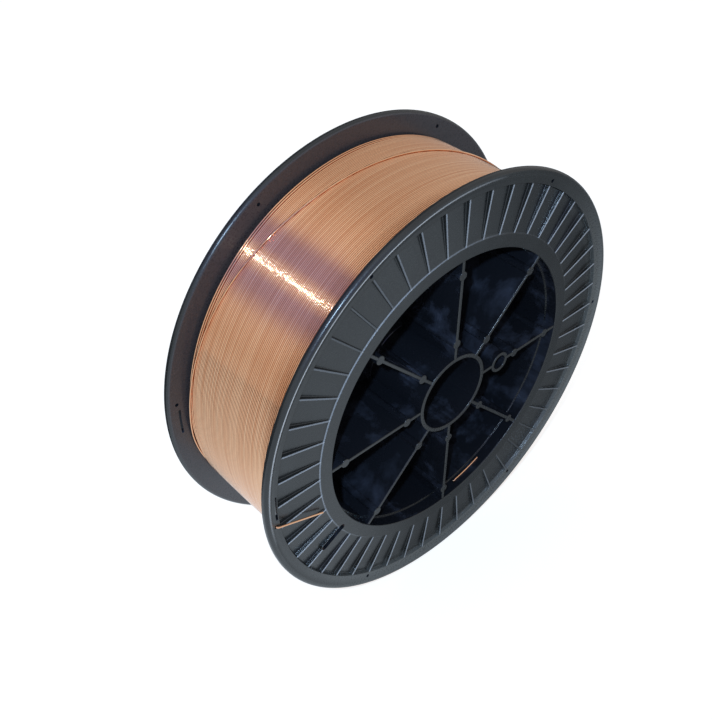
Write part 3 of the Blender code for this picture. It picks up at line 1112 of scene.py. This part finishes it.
@dataclass
class Winding:
    """The wound layers, as one turned ring whose outside and ends show their turns."""

    wire: float = 1.2 * MM
    radius: float = 136.0 * MM
    bore: float = 102.8 * MM
    half_width: float = 44.7 * MM
    top_turns: int = 70
    under_turns: int = 2
    under_shift: float = 0.1
    groove_depth: float = 5.0 * MM
    groove_gap: float = 0.05 * MM
    bore_chamfer: float = 0.4 * MM
    loose_turns: Pair = (40.45 * MM, 42.15 * MM)
    loose_sides: int = 10
    arc_steps: int = 5
    end_arc_steps: int = 2
    steps: int = 160
    lean: float = 78.0
    sharp_turn: float = 62.0

    def scallops(
        self, bm: BMesh, first: Vector, step: Vector, outward: Vector, count: int, arcs: int
    ) -> list[BMVert]:
        """Draw a row of touching wires' outer arcs in the plane z = 0.

        Args:
            bm: The mesh that gets the row.
            first: The middle of the first wire.
            step: From one wire's middle to the next.
            outward: The way that the row faces.
            count: How many wires there are.
            arcs: Edges across each wire.

        Returns:
            The row's first and last point.
        """
        away = (-step).normalized()
        lean = math.radians(self.lean)
        rim = (outward * math.cos(lean) + away * math.sin(lean)) * self.wire / 2.0
        turn_to = 1.0 if away.cross(outward).z > 0.0 else -1.0
        known = {*bm.verts, *bm.edges}
        point = bm.verts.new(first + rim)
        last = verts_in(spin(bm, [point], 2.0 * lean, arcs, (0.0, 0.0, turn_to), first))[0]
        arc = [item for item in (*bm.verts, *bm.edges) if item not in known]
        end = last
        for index in range(1, count):
            copy = bmesh.ops.duplicate(bm, geom=arc)
            bmesh.ops.translate(bm, verts=verts_in(copy["geom"]), vec=step * index)
            bm.edges.new((end, copy["vert_map"][point]))
            end = copy["vert_map"][last]
        return [point, end]

    def ring(self) -> BMesh:
        """Spin the winding's section, with its turns on its outside and its ends.

        Returns:
            The closed ring.
        """
        bm = bmesh.new()
        wire, width = self.wire, self.half_width
        across, out = Vector((0.0, wire, 0.0)), Vector((1.0, 0.0, 0.0))
        half, radius = width - wire / 2.0, self.radius - wire / 2.0
        layer = wire * math.sqrt(0.75)
        first = Vector((radius, -half, 0.0))
        top = self.scallops(bm, first, across, out, self.top_turns, self.arc_steps)
        shift = across.y * (self.top_turns + self.under_shift)
        second = Vector((radius - layer, -half + shift, 0.0))
        under = self.scallops(bm, second, across, out, self.under_turns, self.arc_steps)
        floor = self.radius - self.groove_depth
        rows = int((self.radius - self.bore) / wire) - 1
        ends = []
        for side, start, count in (
            (-1.0, radius - wire, rows),
            (1.0, floor - wire / 2.0, rows - int(self.groove_depth / wire)),
        ):
            middle, facing = Vector((start, side * half, 0.0)), Vector((0.0, side, 0.0))
            ends.append(self.scallops(bm, middle, -wire * out, facing, count, self.end_arc_steps))
        near, far = ends
        inner = [
            bm.verts.new((self.bore, y, 0.0))
            for y in (width - self.bore_chamfer, self.bore_chamfer - width)
        ]
        groove = bm.verts.new((floor, under[1].co.y + self.groove_gap, 0.0))
        chain = (
            (top[1], under[0]), (under[1], groove), (groove, far[0]), (far[1], inner[0]), inner,
            (inner[1], near[1]), (near[0], top[0]),
        )
        for pair in chain:
            bm.edges.new(pair)
        spin(bm, bm.verts[:] + bm.edges[:], math.tau, self.steps, use_merge=True)
        return bm

    def loose_turn(self, bm: BMesh, y: float) -> None:
        """Add one separate turn that lies on the wound layers by the back flange.

        Args:
            bm: The mesh that gets it.
            y: Its place along the axis.
        """
        part = bmesh.new()
        size = self.wire / 2.0
        made = bmesh.ops.create_circle(part, cap_ends=False, segments=self.loose_sides, radius=size)
        bmesh.ops.translate(part, verts=made["verts"], vec=(self.radius - size, y, 0.0))
        spin(part, part.verts[:] + part.edges[:], math.tau, self.steps, use_merge=True)
        take_in(bm, mesh_of(part, "loose_turn", self.sharp_turn))

    def dress(self, copper: Material) -> Object:
        """Put the winding into the scene.

        Args:
            copper: The wire's finish.

        Returns:
            The piece.
        """
        bm = self.ring()
        for y in self.loose_turns:
            self.loose_turn(bm, y)
        mesh = mesh_of(bm, "wound_wire", self.sharp_turn)
        return add_piece("wound_wire", mesh, [copper], "wire_winding")


@dataclass
class LooseWire(ABC):
    """A single run of the same wire, along a smooth route."""

    piece: str = ""
    node: str = ""
    wire: float = 1.2 * MM
    roundness: int = 4
    sharp_turn: float = 50.0

    @abstractmethod
    def route(self) -> list[Vector]:
        """List the route's points, close together, from the winding to the cut end."""

    def dress(self, copper: Material) -> Object:
        """Sweep the wire along its route, close its cut ends and put it into the scene.

        Args:
            copper: The wire's finish.

        Returns:
            The piece.
        """
        curve = bpy.data.curves.new(self.piece, "CURVE")
        curve.dimensions = "3D"
        curve.bevel_depth = self.wire / 2.0
        curve.bevel_resolution = self.roundness
        curve.use_fill_caps = True
        points = self.route()
        spline = curve.splines.new("POLY")
        spline.points.add(len(points) - 1)
        for target, point in zip(spline.points, points):
            target.co = (*point, 1.0)
        guide = new_object("guide", curve)
        bm = bmesh.new()
        take_in(bm, evaluated_mesh(guide))
        bpy.data.objects.remove(guide)
        bpy.data.curves.remove(curve)
        bmesh.ops.remove_doubles(bm, verts=bm.verts[:], dist=LEVEL)
        mesh = mesh_of(bm, self.piece, self.sharp_turn)
        return add_piece(self.piece, mesh, [copper], self.node)


@dataclass
class LastTurn(LooseWire):
    """The last turn, which crosses the winding, and the tail bent over the front flange."""

    piece: str = "last_turn_and_tail"
    node: str = "wire_tail"
    lie: float = 136.62 * MM
    start_angle: float = 186.0
    dive_span: float = 16.0
    dive_depth: float = 2.6 * MM
    dive_steps: int = 20
    turn_steps: int = 360
    rise_span: float = 22.0
    rise_steps: int = 24
    overlap: float = 1.2
    near_y: float = -43.5 * MM
    far_y: float = 43.5 * MM
    sway: float = 2.6 * MM
    sway_share: float = 0.24
    hole_at: float = 143.3 * MM
    hole_angle: float = 185.7
    flange_back: float = -45.0 * MM
    tail_y: float = -49.4 * MM
    tail_end: Pair = (112.6 * MM, 194.0)
    bend_radius: float = 1.4 * MM
    bend_steps: int = 12

    def route(self) -> list[Vector]:
        """List the route's points, from the back flange to the cut end.

        Returns:
            The points, about 2 mm apart.
        """
        last = self.hole_angle - 360.0
        leave = last + self.rise_span
        points = []
        for i in range(self.dive_steps):
            share = 1.0 - i / self.dive_steps
            radius = self.lie - self.dive_depth * share * share
            points.append(polar(radius, self.start_angle + self.dive_span * share, self.far_y))
        for i in range(self.turn_steps + 1):
            share = i / self.turn_steps
            sway = self.sway * math.sin(math.pi * min(share / self.sway_share, 1.0)) ** 2
            degrees = self.start_angle + (leave - self.start_angle) * share
            y = self.far_y + (self.near_y - self.far_y) * share + sway
            points.append(polar(self.lie, degrees, y))
        for i in range(1, self.rise_steps + 1):
            share = i / self.rise_steps
            ease = share * share * (3.0 - 2.0 * share)
            radius = self.lie + (self.hole_at - self.lie) * ease
            points.append(polar(radius, leave + (last + self.overlap - leave) * share, self.near_y))
        hole, end = polar(self.hole_at, self.hole_angle), polar(*self.tail_end)
        along = (end - hole).normalized()
        turn_y = self.tail_y + self.bend_radius
        for y in (self.flange_back, (self.flange_back + turn_y) / 2.0):
            points.append(hole + Vector((0.0, y, 0.0)))
        for i in range(self.bend_steps + 1):
            t = math.radians(90.0 * i / self.bend_steps)
            out = along * (self.bend_radius * (1.0 - math.cos(t)))
            points.append(hole + out + Vector((0.0, turn_y - self.bend_radius * math.sin(t), 0.0)))
        points.append(end + Vector((0.0, self.tail_y, 0.0)))
        return points


@dataclass
class FirstEnd(LooseWire):
    """The wire's first end, a short stub along the wall of the front recess."""

    piece: str = "first_end_of_wire"
    node: str = "wire_start"
    barrel_radius: float = 102.5 * MM
    wall_radius: float = 100.4 * MM
    lie: float = 99.5 * MM
    y: float = -42.9 * MM
    hole_angle: float = -80.5
    bend_span: float = 0.9
    bend_steps: int = 8
    end_angle: float = -66.3
    stub_steps: int = 24

    def route(self) -> list[Vector]:
        """List the route's points, from the hole in the barrel to the cut end.

        Returns:
            The points.
        """
        wall = self.wall_radius
        points = [polar(radius, self.hole_angle, self.y) for radius in (self.barrel_radius, wall)]
        for i in range(1, self.bend_steps + 1):
            share = i / self.bend_steps
            degrees = self.hole_angle + self.bend_span * share * share
            points.append(polar(wall + (self.lie - wall) * share, degrees, self.y))
        first = self.hole_angle + self.bend_span
        for i in range(1, self.stub_steps + 1):
            degrees = first + (self.end_angle - first) * i / self.stub_steps
            points.append(polar(self.lie, degrees, self.y))
        return points


# The studio


@dataclass(frozen=True)
class Lamp:
    """One soft round lamp that faces the spool."""

    name: str
    at: Vector
    size: float
    watts: float
    colour: str
    mirrored: bool

    def add(self) -> None:
        """Hang the lamp."""
        data = bpy.data.lights.new(self.name, "AREA")
        data.shape = "DISK"
        data.size = self.size
        data.energy = self.watts
        data.color = linear(self.colour)[:3]
        lamp = new_object(self.name, data)
        lamp.location = self.at
        lamp.rotation_mode = "QUATERNION"
        lamp.rotation_quaternion = (-self.at).to_track_quat("-Z", "Y")
        lamp.visible_glossy = self.mirrored


@dataclass
class Studio:
    """A pale floor, soft light and the camera at the photograph's angle."""

    floor_z: float = -150.0 * MM
    floor_size: float = 8.0
    floor_colour: str = "#f2f2f2"
    floor_seen: str = "#bcbcbc"
    floor_dullness: float = 0.6
    floor_glow: float = 0.72
    floor_tint: str = "#e6f3ff"
    shine_levels: Pair = (0.28, 0.95)
    shine_from: Pair = (0.04, 0.13)
    shine_way: Triple = (-0.6, -0.8, 0.0)
    behind_level: float = 1.0925
    behind_from: Pair = (-0.06, -0.03)
    distant_from: Pair = (0.05, 0.14)
    distant_share: float = 0.12
    camera_at: Triple = (-0.33009, -0.32469, 0.39401)
    camera_aim: Triple = (0.5069, 0.5639, -0.6519)
    lens: float = 46.5
    shift: Pair = (-0.0007, 0.0008)
    sky: float = 0.62
    mirrored: tuple[tuple[float, str], ...] = (
        (-0.76, "#cbcbcc"), (-0.59, "#dfdfe0"), (-0.36, "#edf4ff"), (-0.25, "#b4b9f2"),
        (-0.12, "#b4bbff"), (-0.04, "#dfe6ff"), (0.04, "#dfe6ff"), (0.12, "#b4bbff"),
        (0.22, "#b6bcf4"), (0.38, "#e4ebf6"), (0.62, "#d6d8da"),
    )
    far_share: float = 0.2
    far_from: Pair = (0.35, 0.65)
    band_across: Triple = (-0.766, 0.0, -0.643)
    glint_place: Pair = (0.11, 130.0)

    def add_camera(self) -> None:
        """Place the camera where the photograph was taken from."""
        data = bpy.data.cameras.new("camera")
        data.sensor_fit = "HORIZONTAL"
        data.sensor_width = 36.0
        data.lens = self.lens
        data.shift_x, data.shift_y = self.shift
        data.clip_start, data.clip_end = 0.01, 60.0
        camera = new_object("camera", data)
        camera.location = self.camera_at
        camera.rotation_mode = "QUATERNION"
        camera.rotation_quaternion = Vector(self.camera_aim).to_track_quat("-Z", "Y")
        bpy.context.scene.camera = camera

    def floor_paper(self) -> Material:
        """Build the floor's material.

        Returns:
            A matt paper that is white to the camera and keeps its shadow.
        """
        # The real one is a white paper sweep. It is lit so far that only shadows show on it.
        material, tree = new_material("pale_paper_floor")
        path = add_node(tree, "ShaderNodeLightPath")
        paper, shown = (
            add_node(
                tree, "ShaderNodeBsdfDiffuse",
                {"Color": linear(colour), "Roughness": self.floor_dullness},
            )
            for colour in (self.floor_colour, self.floor_seen)
        )
        glow = add_node(tree, "ShaderNodeEmission", {"Strength": self.floor_glow})
        lit = add_node(tree, "ShaderNodeAddShader", {0: shown, 1: glow})
        # What the shiny parts mirror is a glow painted on the paper, seen only in reflections: bright
        # behind and to the left, dim in front.
        place = add_node(tree, "ShaderNodeTexCoord").outputs["Object"]
        leftward = add_node(
            tree, "ShaderNodeVectorMath", {0: place, 1: self.shine_way}, operation="DOT_PRODUCT"
        )
        depth = add_node(tree, "ShaderNodeSeparateXYZ", {"Vector": place}).outputs["Y"]
        left = add_node(
            tree, "ShaderNodeMapRange", (leftward, *self.shine_from, *self.shine_levels),
            interpolation_type=Blend.SOFT.value,
        )
        behind = add_node(
            tree, "ShaderNodeMapRange", (depth, *self.behind_from, 0.0, self.behind_level)
        )
        strength = add_node(tree, "ShaderNodeMath", {0: left, 1: behind}, operation="MAXIMUM")
        distant = add_node(
            tree, "ShaderNodeMapRange", (depth, *self.distant_from, 1.0, self.distant_share)
        )
        faded = add_node(tree, "ShaderNodeMath", {0: strength, 1: distant}, operation="MULTIPLY")
        shine = add_node(
            tree, "ShaderNodeEmission", {"Color": linear(self.floor_tint), "Strength": faded}
        )
        unseen = add_node(
            tree, "ShaderNodeMixShader", {0: path.outputs["Is Glossy Ray"], 1: paper, 2: shine}
        )
        seen = add_node(
            tree, "ShaderNodeMixShader", {0: path.outputs["Is Camera Ray"], 1: unseen, 2: lit}
        )
        add_node(tree, "ShaderNodeOutputMaterial", {"Surface": seen})
        return material

    def add_floor(self) -> None:
        """Lay the pale floor under the rims."""
        bm = bmesh.new()
        bmesh.ops.create_grid(bm, x_segments=2, y_segments=2, size=self.floor_size / 2.0)
        bmesh.ops.translate(bm, verts=bm.verts[:], vec=(0.0, 0.0, self.floor_z))
        mesh = bpy.data.meshes.new("floor")
        bm.to_mesh(mesh)
        bm.free()
        mesh.materials.append(self.floor_paper())
        new_object("floor", mesh)

    def add_world(self) -> None:
        """Light the scene evenly, with the strips of the room that the shiny parts mirror."""
        world = bpy.data.worlds.new("studio")
        world.use_nodes = True
        tree = world.node_tree
        tree.nodes.clear()
        path = add_node(tree, "ShaderNodeLightPath")
        way = add_node(tree, "ShaderNodeTexCoord").outputs["Generated"]
        across = add_node(
            tree, "ShaderNodeVectorMath", {0: way, 1: self.band_across}, operation="DOT_PRODUCT"
        )
        place = add_node(
            tree, "ShaderNodeMath", {0: across, 1: 0.5, 2: 0.5}, operation="MULTIPLY_ADD"
        )
        strips = add_node(tree, "ShaderNodeValToRGB", {"Fac": place})
        stops = strips.color_ramp.elements
        for index, (at, colour) in enumerate(self.mirrored):
            stop = stops[index] if index < 2 else stops.new(at * 0.5 + 0.5)
            stop.position = at * 0.5 + 0.5
            stop.color = linear(colour)
        depth = add_node(tree, "ShaderNodeSeparateXYZ", {"Vector": way}).outputs["Y"]
        near = add_node(
            tree, "ShaderNodeMapRange", (depth, *self.far_from, 1.0, self.far_share),
            interpolation_type=Blend.SOFT.value,
        )
        even = add_node(tree, "ShaderNodeBackground", {"Strength": self.sky})
        shine = add_node(tree, "ShaderNodeBackground", {"Color": strips, "Strength": near})
        white = add_node(tree, "ShaderNodeBackground", {"Color": (1.0, 1.0, 1.0, 1.0)})
        unseen = add_node(
            tree, "ShaderNodeMixShader", {0: path.outputs["Is Glossy Ray"], 1: even, 2: shine}
        )
        seen = add_node(
            tree, "ShaderNodeMixShader", {0: path.outputs["Is Camera Ray"], 1: unseen, 2: white}
        )
        add_node(tree, "ShaderNodeOutputWorld", {"Surface": seen})
        bpy.context.scene.world = world

    def build(self) -> None:
        """Build the studio."""
        self.add_camera()
        self.add_floor()
        self.add_world()
        above = Vector((0.0, 0.65, 1.6))
        Lamp("overhead_softbox", above, 1.4, 8.0, "#e6f0ff", False).add()
        # The small lamp by the camera draws the white line across the turns.
        beside = Vector(self.camera_at) + polar(*self.glint_place)
        Lamp("camera_lamp", beside, 0.02, 2.8, "#bcdfff", True).add()


def main() -> None:
    """Build every piece in order, report it and light the scene."""
    logging.basicConfig(level=logging.INFO, format="%(name)s: %(message)s")
    scene = bpy.context.scene
    scene.view_settings.view_transform = "Standard"
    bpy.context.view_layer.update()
    satin, polished, copper = SatinPlastic().make(), PolishedPlastic().make(), CopperCoat().make()
    half = SpoolHalf()
    mesh = half.build()
    for side in Side:
        half.dress(mesh, side, satin, polished)
    for wound in (Winding(), LastTurn(), FirstEnd()):
        wound.dress(copper)
    Studio().build()


if __name__ == "__main__":
    main()
